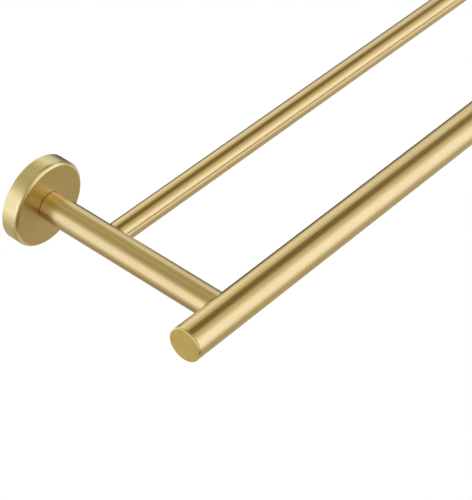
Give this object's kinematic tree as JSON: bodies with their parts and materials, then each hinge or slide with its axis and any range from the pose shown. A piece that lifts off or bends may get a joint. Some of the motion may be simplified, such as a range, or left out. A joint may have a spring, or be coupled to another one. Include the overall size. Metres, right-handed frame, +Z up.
{
  "type": "towel rack",
  "caption": "Wall-mounted towel rack with a thick front bar and a thinner rear bar on round arms with disc flanges, brushed gold.",
  "frame": {"origin": "on the wall plane, midway between the two arms, at the height of the arm axes", "axes": "+X along the bars, to the right when facing the wall; +Y into the wall; +Z up"},
  "size_m": [0.6, 0.1685, 0.049],
  "materials": {
    "brushed_gold": "fine satin brushing, pale gold",
    "plate_steel": "zinc plated, pressed",
    "screw_steel": "zinc plated",
    "black_steel": "black oxide",
    "plain_brass": "as turned"
  },
  "bodies": {
    "rack": {"front_bar": "brushed_gold", "rear_bar": "brushed_gold", "flange_left": "brushed_gold", "flange_right": "brushed_gold", "arm_tube_left": "brushed_gold", "arm_tube_right": "brushed_gold", "front_bar_end_cap_left": "brushed_gold", "front_bar_end_cap_right": "brushed_gold", "wall_plate_left": "plate_steel", "wall_plate_right": "plate_steel", "wall_screws_left": "screw_steel", "wall_screws_right": "screw_steel", "tie_bolt_left": "screw_steel", "tie_bolt_right": "screw_steel", "barrel_nut_left": "screw_steel", "barrel_nut_right": "screw_steel", "lock_washer_left": "screw_steel", "lock_washer_right": "screw_steel", "arm_base_plug_left": "plain_brass", "arm_base_plug_right": "plain_brass", "arm_saddle_plug_left": "plain_brass", "arm_saddle_plug_right": "plain_brass", "spigot_block_left": "plain_brass", "spigot_block_right": "plain_brass", "rear_bar_spigot_left": "plain_brass", "rear_bar_spigot_right": "plain_brass", "rear_bar_end_plug_left": "plain_brass", "rear_bar_end_plug_right": "plain_brass"},
    "flange_set_screw_left_body": {"flange_set_screw_left": "black_steel"},
    "flange_set_screw_right_body": {"flange_set_screw_right": "black_steel"},
    "rear_bar_set_screw_left_body": {"rear_bar_set_screw_left": "black_steel"},
    "rear_bar_set_screw_right_body": {"rear_bar_set_screw_right": "black_steel"}
  },
  "joints": [
    {"name": "flange_set_screw_left_travel", "type": "slide", "parent": "rack", "child": "flange_set_screw_left_body", "axis": [0, 0, -1], "range_m": [0, 0.0015]},
    {"name": "rear_bar_set_screw_left_travel", "type": "slide", "parent": "rack", "child": "rear_bar_set_screw_left_body", "axis": [0, 0, -1], "range_m": [0, 0.002]},
    {"name": "flange_set_screw_right_travel", "type": "slide", "parent": "rack", "child": "flange_set_screw_right_body", "axis": [0, 0, -1], "range_m": [0, 0.0015]},
    {"name": "rear_bar_set_screw_right_travel", "type": "slide", "parent": "rack", "child": "rear_bar_set_screw_right_body", "axis": [0, 0, -1], "range_m": [0, 0.002]}
  ]
}
